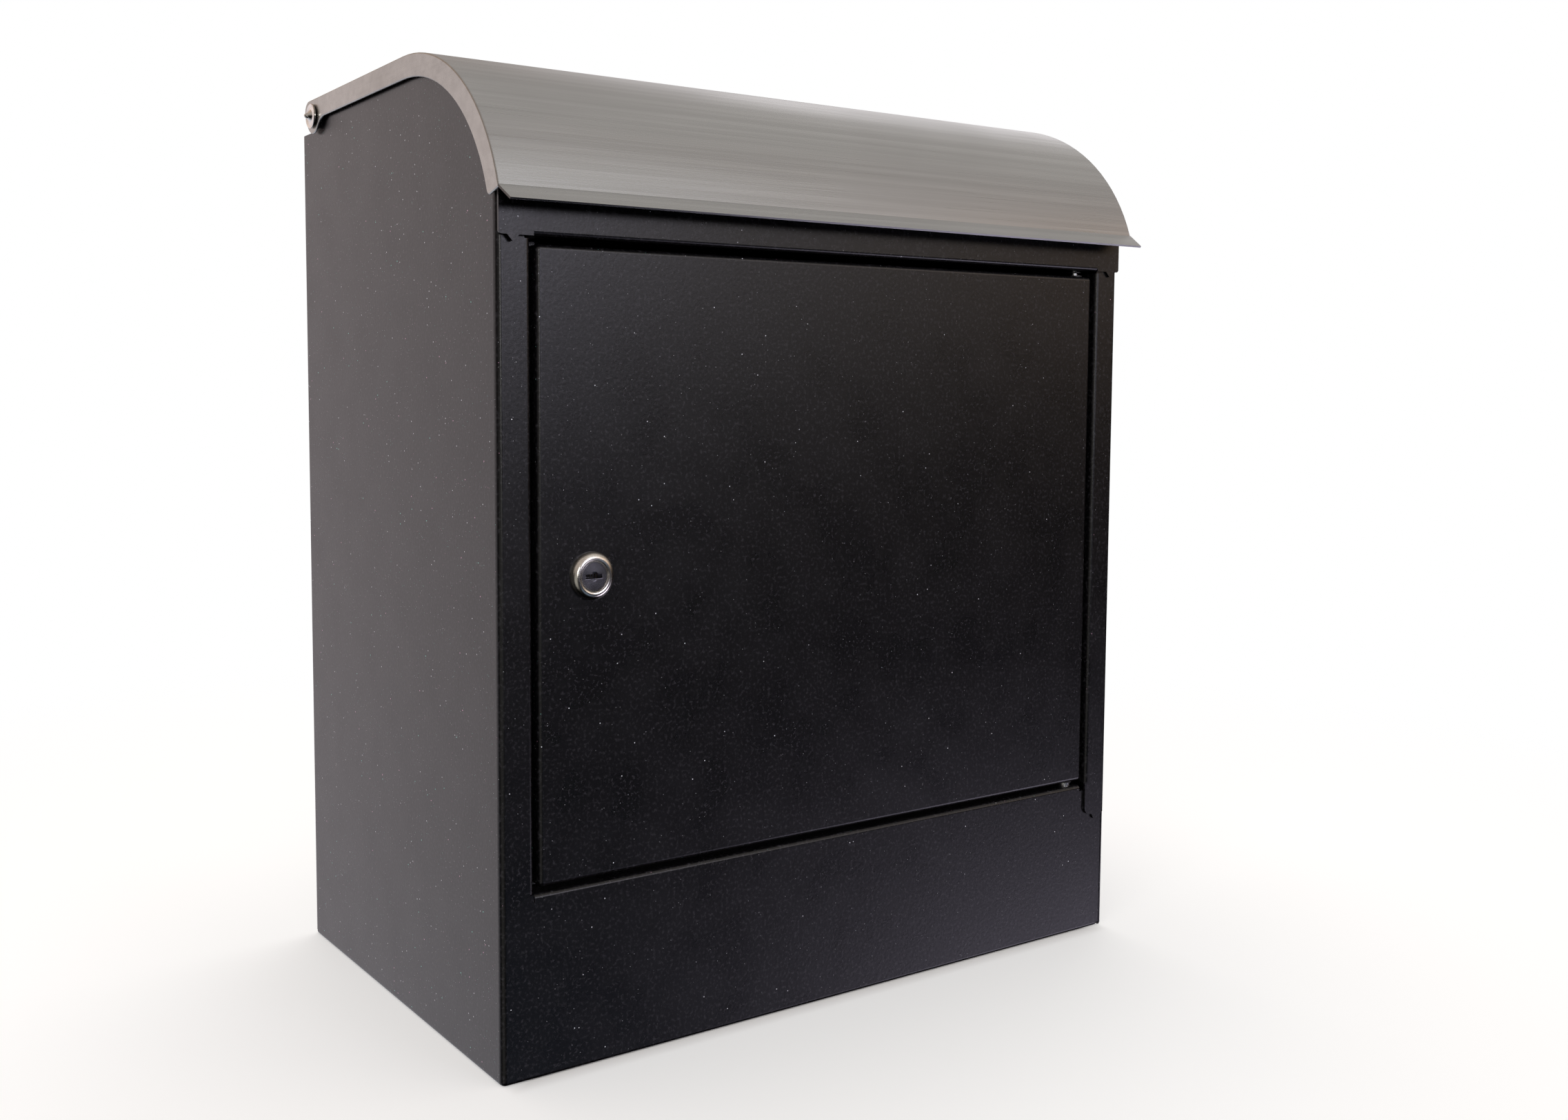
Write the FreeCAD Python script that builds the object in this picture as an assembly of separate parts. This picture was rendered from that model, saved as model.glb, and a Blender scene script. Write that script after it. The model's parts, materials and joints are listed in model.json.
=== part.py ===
"""Parcel drop box: black sheet-steel cabinet, stainless rear-hinged lid, locked front door.

Frame: +X to the right seen from the front, the front faces -Y, +Z up, millimetres.
The origin is the centre of the bounding box's footprint, level with the cabinet's underside.
Each piece is built by its own function, and the table at the end names the files.
"""
import FreeCAD, Part
import math
import os

from FreeCAD import Vector

os.makedirs("parts", exist_ok=True)

# ---------------------------------------------------------------- driving dimensions
BODY_W = 400.0             # outer width of the cabinet
BODY_D = 233.5             # lower front panel to the rear flanges
SHEET = 1.2                # cabinet and door sheet
FLANGE = 14.0              # in-turned flanges of the cabinet's sheets
CORNER_R = 3.0             # outer radius of the vertical corner bend
BEND_R = 2.0               # outer radius of the other bends

LID_TOP_Z = 475.2          # top of the lid
LID_SHEET = 1.0
LID_HALF_W = 203.0         # half the lid's width over its side flanges
LID_R = 102.4              # outer radius of the lid's quarter-round front
LID_FLANGE = 11.0          # depth of the lid's side flanges
LID_ARC_END = 72.8         # degrees of arc, from the top to the lip's root
LIP_OVERHANG = 16.5        # lip's tip in front of the lower front panel
LIP_TIP_Z = 396.5
LIP_TAPER = 1.5            # how much each end of the lip draws in
LID_EDGE_R = 0.8           # rounding between the top and the side flanges
EAR_R = 9.3                # round foot of the ears, about the hinge axis
FLANGE_PAST_LIP = 0.7      # degrees that the side flanges run past the lip's root
FLANGE_TIP_R = 2.5

FRONT_Y = LIP_OVERHANG - (BODY_D + LIP_OVERHANG) / 2
BACK_Y = FRONT_Y + BODY_D
SIDE_X = BODY_W / 2

LID_ARC_Y = FRONT_Y + 90.0             # centre of the lid's arc
LID_ARC_Z = LID_TOP_Z - LID_R
LID_GAP = 3.9              # lid's inside to the side panels' top edges
SIDE_TOP_R = LID_R - LID_SHEET - LID_GAP
SIDE_TOP_Z = LID_ARC_Z + SIDE_TOP_R
SIDE_REAR_Z = 458.7        # side panels' height behind the lid hinge
SIDE_LOBE_R = 6.8          # side panels' round lobe at the lid hinge
PIVOT_Y = FRONT_Y + 209.3              # lid hinge axis, along X
PIVOT_Z = 466.0

STILE_W = 17.0             # width of the stiles beside the door
SILL_Z = 86.5              # top of the lower front panel
HEADER_Z = 382.7           # lower edge of the header rail
HEADER_TOP = 410.0
STILE_Y = FRONT_Y - SHEET              # face of the hinge stile, which laps the lower panel
HEADER_Y = STILE_Y - SHEET             # face of the header rail, which laps the hinge stile
STILE_FOOT_Z = 68.5        # lower end of the hinge stile
REBATE_Y = FRONT_Y + 12.6              # face of the rebate lips behind the door
HEADER_DEPTH = 14.5        # lower front panel to the rear edge of the header's flanges
HEADER_TAB = 14.0          # height of the header's end tabs

BACK_TOP_Z = 458.2
BACK_FOOT_Z = 2.6
BACK_LIP = 5.8             # back panel's top lip, short enough for the lid to swing past
BAFFLE_NOSE_Y = FRONT_Y + 96.0
BAFFLE_NOSE_Z = 345.0
BAFFLE_LIP = 12.0
BUFFER_LEN = 14.0
BUFFER_DEPTH = 5.0         # stays above the lid's flange edge

DOOR_X0 = -180.0
DOOR_X1 = 180.5
DOOR_Z0 = 89.3
DOOR_Z1 = 379.5
DOOR_DEPTH = 12.0
DOOR_BEND_R = 2.2
HINGE_X = 172.5            # door hinge axis, along Z
HINGE_Y = FRONT_Y + 6.0
PIN_R = 2.0
PIN_HEAD_R = 3.5
BUSH_R = 3.0
RUN_CLEAR = 0.05           # radial clearance of the running fits

LOCK_X = -152.0            # lock axis, along Y
LOCK_Z = 230.4
BARREL_R = 9.4
BARREL_FLAT = 8.0          # half the distance across the barrel's flats
PLUG_R = 6.0
PLUG_HEAD_R = 6.6
BARREL_LEN = 14.5          # door face to the barrel's rear end
PLUG_FACE = -2.5           # plug's face, in front of the door
BEZEL_R = 11.2
BEZEL_LIP_R = 7.9
WAFERS = 5
WAFER_STEP = 2.1

BACK_HOLE_R = 4.0
BACK_HOLES = 300.0         # square pattern of the wall-mounting holes
BACK_HOLES_Z = 230.0
BASE_HOLE_R = 4.5
BASE_HOLES_X = 280.0
BASE_HOLES_Y = 120.0

TALL = 600.0               # longer than anything here, for cutting tools
X_AXIS = Vector(1, 0, 0)
Y_AXIS = Vector(0, 1, 0)
Z_AXIS = Vector(0, 0, 1)


# ---------------------------------------------------------------- shared shapes
def box(x0, x1, y0, y1, z0, z1):
    return Part.makeBox(x1 - x0, y1 - y0, z1 - z0, Vector(x0, y0, z0))


def rod(radius, start, end):
    axis = end.sub(start)
    return Part.makeCylinder(radius, axis.Length, start, axis)


def ring(outer, inner, start, end):
    return rod(outer, start, end).cut(rod(inner, start, end))


def in_yz(x):
    return lambda y, z: Vector(x, y, z)


def in_xy(z):
    return lambda x, y: Vector(x, y, z)


def in_xz(y):
    return lambda x, z: Vector(x, y, z)


def rounded_face(corners, place):
    """Face through corners (a, b, radius); place turns (a, b) into a point."""
    cuts = []
    for index, (a, b, radius) in enumerate(corners):
        here = Vector(a, b, 0)
        before = Vector(*corners[index - 1][:2], 0).sub(here)
        after = Vector(*corners[(index + 1) % len(corners)][:2], 0).sub(here)
        before.normalize()
        after.normalize()
        if radius == 0:
            cuts.append((here, None, here))
            continue
        half = before.getAngle(after) / 2
        reach = radius / math.tan(half)
        inward = before.add(after).normalize()
        middle = here.add(inward * (radius / math.sin(half) - radius))
        cuts.append((here.add(before * reach), middle, here.add(after * reach)))
    edges = []
    for index, (start, middle, end) in enumerate(cuts):
        if middle is not None:
            arc = [place(p.x, p.y) for p in (start, middle, end)]
            edges.append(Part.Arc(*arc).toShape())
        following = cuts[(index + 1) % len(cuts)][0]
        if end.distanceToPoint(following) > 1e-6:
            edges.append(Part.makeLine(place(end.x, end.y), place(following.x, following.y)))
    return Part.Face(Part.Wire(edges))


def bent_strip(path, thickness, place, bend=BEND_R):
    """Face of a bent sheet: path is one skin, the sheet lies to the left of its direction."""
    points = [Vector(a, b, 0) for a, b in path]
    normals = []
    for start, end in zip(points, points[1:]):
        step = end.sub(start).normalize()
        normals.append(Vector(-step.y, step.x, 0))
    skin = [(points[0].x, points[0].y, 0)]
    other = [points[0].add(normals[0] * thickness)]
    other = [(other[0].x, other[0].y, 0)]
    for index in range(1, len(points) - 1):
        first = normals[index - 1]
        second = normals[index]
        turn = first.x * second.y - first.y * second.x
        shift = first.add(second) * (thickness / (1 + first.dot(second)))
        moved = points[index].add(shift)
        near, far = (bend, bend - thickness) if turn > 0 else (bend - thickness, bend)
        skin.append((points[index].x, points[index].y, near))
        other.append((moved.x, moved.y, far))
    tail = points[-1].add(normals[-1] * thickness)
    skin.append((points[-1].x, points[-1].y, 0))
    other.append((tail.x, tail.y, 0))
    return rounded_face(skin + other[::-1], place)


def rounded_box(x0, x1, y0, y1, z0, z1, upright, low):
    """Box with rounded upright edges and a rounded rim at its bottom."""
    solid = box(x0, x1, y0, y1, z0, z1)
    tall_edges = [e for e in solid.Edges if abs(e.tangentAt(e.FirstParameter).z) > 0.9]
    solid = solid.makeFillet(upright, tall_edges)
    rim = [e for e in solid.Edges if e.BoundBox.ZMax < z0 + 1e-3]
    return solid.makeFillet(low, rim)


def tub(x0, x1, y0, y1, z0, z1, upright=CORNER_R, low=BEND_R, sheet=SHEET):
    """Open-topped tray of one sheet thickness."""
    outside = rounded_box(x0, x1, y0, y1, z0, z1, upright, low)
    inside = rounded_box(x0 + sheet, x1 - sheet, y0 + sheet, y1 - sheet, z0 + sheet,
                         z1 + 1, upright - sheet, low - sheet)
    return outside.cut(inside)


def mirrored(shape):
    return shape.mirror(Vector(0, 0, 0), X_AXIS)


def joined(first, *others):
    return first.fuse(list(others)).removeSplitter()


def both_sides(shape):
    return Part.Compound([shape, mirrored(shape)])


def side_outline():
    """Everything inside the side panels' outline, as a thick slab."""
    rear = [(FRONT_Y - 10, -10, 0), (BACK_Y, -10, 0), (BACK_Y, SIDE_REAR_Z, 3.5),
            (FRONT_Y - 10, SIDE_REAR_Z, 0)]
    slab = rounded_face(rear, in_yz(-TALL / 2)).extrude(X_AXIS * TALL)
    flat = box(-TALL / 2, TALL / 2, LID_ARC_Y, PIVOT_Y, SIDE_REAR_Z - 1, SIDE_TOP_Z)
    lobe = rod(SIDE_LOBE_R, Vector(-TALL / 2, PIVOT_Y, PIVOT_Z), Vector(TALL / 2, PIVOT_Y, PIVOT_Z))
    foot = box(-TALL / 2, TALL / 2, PIVOT_Y, PIVOT_Y + 3.0, SIDE_REAR_Z - 1, PIVOT_Z)
    front = box(-TALL / 2, TALL / 2, FRONT_Y - 20, LID_ARC_Y, LID_ARC_Z, TALL)
    drum = rod(SIDE_TOP_R, Vector(-TALL / 2, LID_ARC_Y, LID_ARC_Z),
               Vector(TALL / 2, LID_ARC_Y, LID_ARC_Z))
    return slab.cut(front.cut(drum)).fuse([flat, lobe, foot, drum.common(front)])


def nib(x, z, half_w, depth, y0, y1):
    """Small V-shaped nib under the edge of a front strip."""
    corners = [(x - half_w, z + 0.5, 0), (x - half_w + 0.4, z, 0), (x, z - depth, 0.9),
               (x + half_w - 0.4, z, 0), (x + half_w, z + 0.5, 0)]
    return rounded_face(corners, in_xz(y0)).extrude(Y_AXIS * (y1 - y0))


# ---------------------------------------------------------------- cabinet
def body_wrap():
    """Left side, left stile and lower front panel, bent from one sheet."""
    right_end = SIDE_X - SHEET - 0.2
    shell = tub(-SIDE_X, right_end, FRONT_Y, BACK_Y, 0, LID_TOP_Z)
    stile = -SIDE_X + STILE_W
    drop = [
        box(right_end - 5, TALL, FRONT_Y + FLANGE, TALL, -1, TALL),
        box(-SIDE_X + FLANGE, TALL, BACK_Y - 5, TALL, -1, TALL),
        box(-SIDE_X + FLANGE, TALL, FRONT_Y + FLANGE, TALL, -1, 3),
        box(-TALL, -SIDE_X + FLANGE + 1, BACK_Y - 3, TALL, -1, 2.5),
        box(-SIDE_X + 3, TALL, BACK_Y - FLANGE, BACK_Y - 2, -1, 3),
        box(stile - 3, TALL, FRONT_Y - 5, FRONT_Y + FLANGE + 5, SILL_Z, TALL),
        box(stile, TALL, FRONT_Y - 5, FRONT_Y + FLANGE + 5, SILL_Z - 3.5, TALL),
        box(-SIDE_X + SHEET, stile, FRONT_Y - 5, FRONT_Y + 5, HEADER_TOP - 5, TALL),
    ]
    corner = box(right_end - CORNER_R, right_end, FRONT_Y, FRONT_Y + CORNER_R, BEND_R,
                 STILE_FOOT_Z - 0.5)
    corner = corner.cut(box(right_end - CORNER_R - 1, right_end - SHEET, FRONT_Y + SHEET, TALL, -1, TALL))
    edge = [e for e in corner.Edges if e.BoundBox.XMin > right_end - 1e-3
            and e.BoundBox.YMax < FRONT_Y + 1e-3]
    corner = corner.makeFillet(0.6, edge)
    slit = box(-0.3, 0.3, -15, 0, -1, SHEET + 0.3)
    slit.rotate(Vector(0, 0, 0), Z_AXIS, -45)
    slit.translate(Vector(-SIDE_X + FLANGE + 0.7, FRONT_Y + FLANGE + 0.7, 0))
    shell = shell.cut(drop + [slit]).common(side_outline())

    stile_path = [(stile - 3, FRONT_Y), (stile, FRONT_Y), (stile, REBATE_Y),
                  (stile + 9, REBATE_Y)]
    stile_bend = bent_strip(stile_path, SHEET, in_xy(SILL_Z + 0.5))
    stile_bend = stile_bend.extrude(Z_AXIS * (HEADER_Z - 1 - SILL_Z - 0.5))
    bridge = box(stile - 3, stile - BEND_R, FRONT_Y, FRONT_Y + SHEET, SILL_Z - 1, SILL_Z + 2)
    sill_path = [(REBATE_Y, SILL_Z + 7), (REBATE_Y, SILL_Z), (FRONT_Y, SILL_Z),
                 (FRONT_Y, SILL_Z - 3.5)]
    sill = bent_strip(sill_path, SHEET, in_yz(stile + 0.5)).extrude(X_AXIS * (2 * SIDE_X - 38))
    hinge_room = box(HINGE_X - 12.5, TALL, FRONT_Y + 12.2, TALL, SILL_Z - 5, SILL_Z + 20)
    sill = sill.cut(hinge_room)
    wrap = joined(shell, stile_bend, bridge, sill, corner)
    pin_hole = rod(PIN_R + 0.1, on_hinge(SILL_Z - 5), on_hinge(SILL_Z + 5))
    return wrap.cut([pin_hole, stud_hole(-1)])


def stud_hole(side):
    return rod(3.1, Vector(side * (SIDE_X - 5), PIVOT_Y, PIVOT_Z),
               Vector(side * (SIDE_X + 5), PIVOT_Y, PIVOT_Z))


def right_side_panel():
    """Right side with its front return, the hinge stile, lapping the lower panel."""
    shell = tub(-SIDE_X, SIDE_X, STILE_Y, BACK_Y, 0, LID_TOP_Z, 2.6)
    stile = SIDE_X - STILE_W
    drop = [
        box(-TALL, SIDE_X - FLANGE, STILE_Y + 4, TALL, -1, TALL),
        box(-TALL, stile + 3, -TALL, STILE_Y + 5, -1, TALL),
        box(-TALL, TALL, -TALL, FRONT_Y + 0.1, -1, STILE_FOOT_Z),
        box(-TALL, SIDE_X - SHEET - 0.05, -TALL, FRONT_Y + FLANGE + 2, -1, STILE_FOOT_Z),
        box(-TALL, TALL, -TALL, FRONT_Y, HEADER_TOP - 5, TALL),
        box(-TALL, SIDE_X - SHEET, -TALL, FRONT_Y + 3, HEADER_TOP - 5, TALL),
        box(SIDE_X - FLANGE - 1, TALL, BACK_Y - 3, TALL, -1, 2.5),
        box(-TALL, SIDE_X - 3, BACK_Y - FLANGE, BACK_Y - 2, -1, 3),
    ]
    shell = shell.cut(drop).common(side_outline().fuse(
        box(-TALL, TALL, STILE_Y - 1, FRONT_Y, -1, HEADER_TOP - 5)))

    path = [(stile, FRONT_Y + 11), (stile, STILE_Y), (stile + 3, STILE_Y)]
    bend = bent_strip(path, SHEET, in_xy(SILL_Z + 1)).extrude(
        Z_AXIS * (HEADER_Z - 1 - SILL_Z - 1))
    foot_corners = [(stile, SILL_Z + 1, 0), (stile, STILE_FOOT_Z, 4.5),
                    (SIDE_X - 2.6, STILE_FOOT_Z, 0), (SIDE_X - 2.6, SILL_Z + 1, 0)]
    foot = rounded_face(foot_corners, in_xz(STILE_Y)).extrude(Y_AXIS * SHEET)
    trim = box(stile + 2.9, SIDE_X - 2.6, STILE_Y - 1, STILE_Y + 3, STILE_FOOT_Z - 1, SILL_Z + 1)
    head = box(stile, stile + 3.1, STILE_Y, FRONT_Y, HEADER_Z - 1, HEADER_TOP - 5)
    foot_nib = nib(SIDE_X - 8.7, STILE_FOOT_Z, 2.8, 3.8, STILE_Y, FRONT_Y)
    panel = joined(shell.cut(trim), bend, foot, head, foot_nib)
    return panel.cut(stud_hole(1))


def header_rail():
    """Channel across the top of the front, with nibs over the stiles."""
    half = SIDE_X - STILE_W - 0.5
    depth_y = FRONT_Y + HEADER_DEPTH
    face = box(-SIDE_X, SIDE_X, HEADER_Y, STILE_Y, HEADER_Z + 3, HEADER_TOP - 3)
    ends = [(-SIDE_X, HEADER_Z, 1.6), (-half, HEADER_Z, 0), (-half, HEADER_Z + 4, 0),
            (-SIDE_X, HEADER_Z + 4, 0)]
    end = rounded_face(ends, in_xz(HEADER_Y)).extrude(Y_AXIS * SHEET)
    end_nib = nib(-SIDE_X + 7.2, HEADER_Z, 3.4, 3.3, HEADER_Y, STILE_Y)
    low_path = [(depth_y, HEADER_Z), (HEADER_Y, HEADER_Z), (HEADER_Y, HEADER_Z + 4)]
    low = bent_strip(low_path[::-1], SHEET, in_yz(-half)).extrude(X_AXIS * 2 * half)
    top_half = SIDE_X - SHEET
    top_path = [(HEADER_Y, HEADER_TOP - 4), (HEADER_Y, HEADER_TOP), (depth_y, HEADER_TOP)]
    top = bent_strip(top_path[::-1], SHEET, in_yz(-top_half)).extrude(X_AXIS * 2 * top_half)
    tab = box(top_half - SHEET, top_half, FRONT_Y + 3, depth_y, HEADER_TOP - HEADER_TAB, HEADER_TOP)
    rail = joined(face, end, mirrored(end), end_nib, mirrored(end_nib), low, top,
                  tab, mirrored(tab))
    hole = rod(PIN_R + 0.1, on_hinge(HEADER_Z - 1), on_hinge(HEADER_Z + 3))
    return rail.cut(hole)


def back_panel():
    """Rear sheet inside the sides' rear flanges, with a top lip and the wall holes."""
    outer = BACK_Y - SHEET
    path = [(outer - BACK_LIP, BACK_TOP_Z), (outer, BACK_TOP_Z), (outer, BACK_FOOT_Z)]
    half = SIDE_X - CORNER_R - 0.1        # clear of the corner bends
    panel = bent_strip(path[::-1], SHEET, in_yz(-half)).extrude(X_AXIS * 2 * half)
    holes = []
    for x in (-BACK_HOLES / 2, BACK_HOLES / 2):
        for z in (BACK_HOLES_Z - BACK_HOLES / 2, BACK_HOLES_Z + BACK_HOLES / 2):
            holes.append(rod(BACK_HOLE_R, Vector(x, outer - 5, z), Vector(x, outer + 5, z)))
    return panel.cut(holes)


def base_panel():
    """Flat floor plate, welded on the in-turned bottom flanges."""
    clear = BEND_R - SHEET + 0.2           # inside the bottom bends
    y0 = FRONT_Y + SHEET + clear
    y1 = BACK_Y - 2 * SHEET - clear
    x0 = -SIDE_X + SHEET + clear
    x1 = SIDE_X - 2 * SHEET - clear
    plate = box(x0, x1, y0, y1, SHEET, 2 * SHEET)
    upright = [e for e in plate.Edges if e.BoundBox.ZLength > SHEET / 2]
    plate = plate.makeFillet(CORNER_R, upright)
    holes = []
    for x in (-BASE_HOLES_X / 2, BASE_HOLES_X / 2):
        for y in (-BASE_HOLES_Y / 2, BASE_HOLES_Y / 2):
            centre = Vector(x, (FRONT_Y + BACK_Y) / 2 + y, -1)
            holes.append(rod(BASE_HOLE_R, centre, centre.add(Z_AXIS * 5)))
    return plate.cut(holes)


def baffle_plate():
    """Sloped anti-fishing plate under the drop mouth, welded to the sides by its flanges."""
    top_z = HEADER_TOP - SHEET - 0.2
    start = (FRONT_Y + 5, top_z)
    knee = (FRONT_Y + 16, top_z)
    nose = (BAFFLE_NOSE_Y, BAFFLE_NOSE_Z)
    end = (BAFFLE_NOSE_Y, BAFFLE_NOSE_Z - BAFFLE_LIP)
    half = SIDE_X - 2 * SHEET - 0.4
    plate = bent_strip([end, nose, knee, start], SHEET, in_yz(-half)).extrude(X_AXIS * 2 * half)
    slope = (nose[1] - knee[1]) / (nose[0] - knee[0])
    y0 = FRONT_Y + 22
    y1 = BAFFLE_NOSE_Y - 4
    z0 = knee[1] + slope * (y0 - knee[0]) - 0.6
    z1 = knee[1] + slope * (y1 - knee[0]) - 0.6
    ear = [(y0, z0, 0), (y1, z1, 0), (y1, z1 - 16, 4), (y0, z0 - 16, 4)]
    flange = rounded_face(ear, in_yz(half - SHEET)).extrude(X_AXIS * (SHEET + 1.6))
    return joined(plate, flange, mirrored(flange))


# ---------------------------------------------------------------- door hinge
def on_hinge(z):
    return Vector(HINGE_X, HINGE_Y, z)


def lower_hinge_pin():
    """Shoulder pin riveted through the sill."""
    spans = [(3.2, SILL_Z - SHEET - 1.2, SILL_Z - SHEET), (PIN_R, SILL_Z - SHEET - 0.5, SILL_Z + 1),
             (PIN_HEAD_R, SILL_Z, SILL_Z + 1.8), (PIN_R, SILL_Z + 1, DOOR_Z0 + 7)]
    return joined(*[rod(radius, on_hinge(low), on_hinge(high)) for radius, low, high in spans])


def upper_hinge_pin():
    """Headed pin dropped through the header rail's lower flange."""
    seat = HEADER_Z + SHEET
    head = rod(PIN_HEAD_R, on_hinge(seat), on_hinge(seat + 1.6))
    head = head.makeFillet(0.5, [e for e in head.Edges if e.BoundBox.ZMin > seat + 1])
    shank = rod(PIN_R, on_hinge(DOOR_Z1 - 8), on_hinge(seat + 1))
    groove = ring(PIN_R + 1, 1.6, on_hinge(HEADER_Z - 1.1), on_hinge(HEADER_Z - 0.3))
    return joined(head, shank).cut(groove)


def upper_pin_clip():
    """Open clip in the upper pin's groove."""
    clip = ring(3.8, 1.65, on_hinge(HEADER_Z - 1.0), on_hinge(HEADER_Z - 0.4))
    mouth = box(HINGE_X - 1.3, HINGE_X + 1.3, HINGE_Y, HINGE_Y + 5, HEADER_Z - 2, HEADER_Z)
    return clip.cut(mouth)


def door_bushes():
    """Flanged plastic bushes in the door's bottom and top returns."""
    bushes = []
    for skin, away in ((DOOR_Z0, -1), (DOOR_Z1, 1)):
        flange = rod(4.5, on_hinge(skin), on_hinge(skin + away * 0.7))
        sleeve = rod(BUSH_R, on_hinge(skin - away * 3.2), on_hinge(skin + away * 0.1))
        bore = rod(PIN_R + RUN_CLEAR, on_hinge(skin - away * 5), on_hinge(skin + away * 3))
        bushes.append(joined(flange, sleeve).cut(bore))
    return Part.Compound(bushes)


# ---------------------------------------------------------------- door and lock
def lock_at(x, y, z):
    """Point from the lock's own coordinates: y from the door's face, inwards."""
    return Vector(LOCK_X + x, FRONT_Y + y, LOCK_Z + z)


def lock_box(x0, x1, y0, y1, z0, z1):
    return box(LOCK_X + x0, LOCK_X + x1, FRONT_Y + y0, FRONT_Y + y1, LOCK_Z + z0, LOCK_Z + z1)


def lock_rod(radius, y0, y1, x=0.0, z=0.0):
    return rod(radius, lock_at(x, y0, z), lock_at(x, y1, z))


def barrel_shape(extra, y0, y1):
    flat = BARREL_FLAT + extra
    return lock_rod(BARREL_R + extra, y0, y1).common(lock_box(-flat, flat, y0, y1, -20, 20))


def door_panel():
    """Folded pan with the lock's hole and the two hinge bush holes."""
    outside = box(DOOR_X0, DOOR_X1, FRONT_Y, FRONT_Y + DOOR_DEPTH, DOOR_Z0, DOOR_Z1)
    inside = box(DOOR_X0 + SHEET, DOOR_X1 - SHEET, FRONT_Y + SHEET, FRONT_Y + DOOR_DEPTH + 1,
                 DOOR_Z0 + SHEET, DOOR_Z1 - SHEET)
    rounds = []
    for solid, face_y, radius in ((outside, FRONT_Y, DOOR_BEND_R),
                                  (inside, FRONT_Y + SHEET, DOOR_BEND_R - SHEET)):
        deep = [e for e in solid.Edges if e.BoundBox.YLength > 5]
        solid = solid.makeFillet(radius, deep)
        front = [e for e in solid.Edges if e.BoundBox.YMax < face_y + 1e-3]
        rounds.append(solid.makeFillet(radius * 0.98, front))
    pan = rounds[0].cut(rounds[1])
    holes = [barrel_shape(0.1, -1, 5)]
    for z in (DOOR_Z0, DOOR_Z1):
        holes.append(rod(BUSH_R, on_hinge(z - 3), on_hinge(z + 3)))
    return pan.cut(holes)


def lock_housing():
    """Domed bezel and flatted barrel, bored for the plug."""

    def at(radius, depth):
        return lock_at(radius, depth, 0)

    edges = [
        Part.makeLine(at(PLUG_R + RUN_CLEAR, BARREL_LEN), at(PLUG_R + RUN_CLEAR, 0.7)),
        Part.makeLine(at(PLUG_R + RUN_CLEAR, 0.7), at(PLUG_HEAD_R + RUN_CLEAR, 0.7)),
        Part.makeLine(at(PLUG_HEAD_R + RUN_CLEAR, 0.7), at(PLUG_HEAD_R + RUN_CLEAR, PLUG_FACE)),
        Part.makeLine(at(PLUG_HEAD_R + RUN_CLEAR, PLUG_FACE), at(7.2, PLUG_FACE)),
        Part.makeLine(at(7.2, PLUG_FACE), at(BEZEL_LIP_R - 0.3, -3.3)),
        Part.makeLine(at(BEZEL_LIP_R - 0.3, -3.3), at(BEZEL_LIP_R + 0.2, -3.4)),
        Part.Arc(at(BEZEL_LIP_R + 0.2, -3.4), at(10.25, -2.6), at(BEZEL_R, -0.7)).toShape(),
        Part.makeLine(at(BEZEL_R, -0.7), at(BEZEL_R, 0)),
        Part.makeLine(at(BEZEL_R, 0), at(BARREL_R, 0)),
        Part.makeLine(at(BARREL_R, 0), at(BARREL_R, BARREL_LEN)),
        Part.makeLine(at(BARREL_R, BARREL_LEN), at(PLUG_R + RUN_CLEAR, BARREL_LEN)),
    ]
    turned = Part.Face(Part.Wire(edges)).revolve(lock_at(0, 0, 0), Y_AXIS, 360)
    flats = [lock_box(BARREL_FLAT, 30, 0, 30, -30, 30), lock_box(-30, -BARREL_FLAT, 0, 30, -30, 30)]
    races = lock_box(-7.2, 7.2, 1.6, 12.4, -2.7, 2.7).cut(lock_rod(PLUG_R, 0, 20))
    return turned.cut(flats + [races])


def lock_nut():
    """Hex nut that clamps the barrel to the door skin."""
    across_corners = 22.0 / math.cos(math.pi / 6) / 2
    points = [lock_at(across_corners * math.cos(k * math.pi / 3), SHEET,
                      across_corners * math.sin(k * math.pi / 3)) for k in range(7)]
    blank = Part.Face(Part.makePolygon(points)).extrude(Y_AXIS * 3.5)
    dome = lock_rod(12.2, SHEET, SHEET + 3.5)
    return blank.common(dome).cut(lock_rod(BARREL_R + 0.02, 0, 10))


def wafer_y(index):
    return 2.8 + index * WAFER_STEP


def lock_plug():
    """Plug with keyway, wafer slots, square tenon for the cam and its screw hole."""
    plug = joined(lock_rod(PLUG_HEAD_R, PLUG_FACE, 0.65), lock_rod(PLUG_R, 0.65, BARREL_LEN + 0.2),
                  lock_box(-3.5, 3.5, BARREL_LEN, BARREL_LEN + 2.3, -3.5, 3.5))
    rim = [e for e in plug.Edges if e.BoundBox.YMax < FRONT_Y + PLUG_FACE + 1e-3]
    plug = plug.makeChamfer(0.25, rim)
    keyway = lock_box(-4.4, 4.4, PLUG_FACE - 1, 11.9, -1.0, 1.0)
    recess = lock_rod(2.3, PLUG_FACE - 1, PLUG_FACE + 0.6)
    arch = lock_rod(2.3, PLUG_FACE, PLUG_FACE + 2.4).common(lock_box(-5, 5, -9, 9, 0, 5))
    keyway_rim = lock_box(-5.0, 5.0, PLUG_FACE - 1, PLUG_FACE + 0.4, -1.3, 1.3)
    tools = [keyway, keyway_rim, recess, arch, lock_rod(PIN_R, 12.5, BARREL_LEN + 5)]
    for index in range(WAFERS):
        y = wafer_y(index)
        tools.append(lock_box(-6.5, 6.5, y - 0.45, y + 0.45, -2.5, 2.5))
        tools.append(lock_box(-3.0, 2.4, y - 0.75, y + 0.75, 2.4, 4.3))
    return plug.cut(tools)


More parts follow.
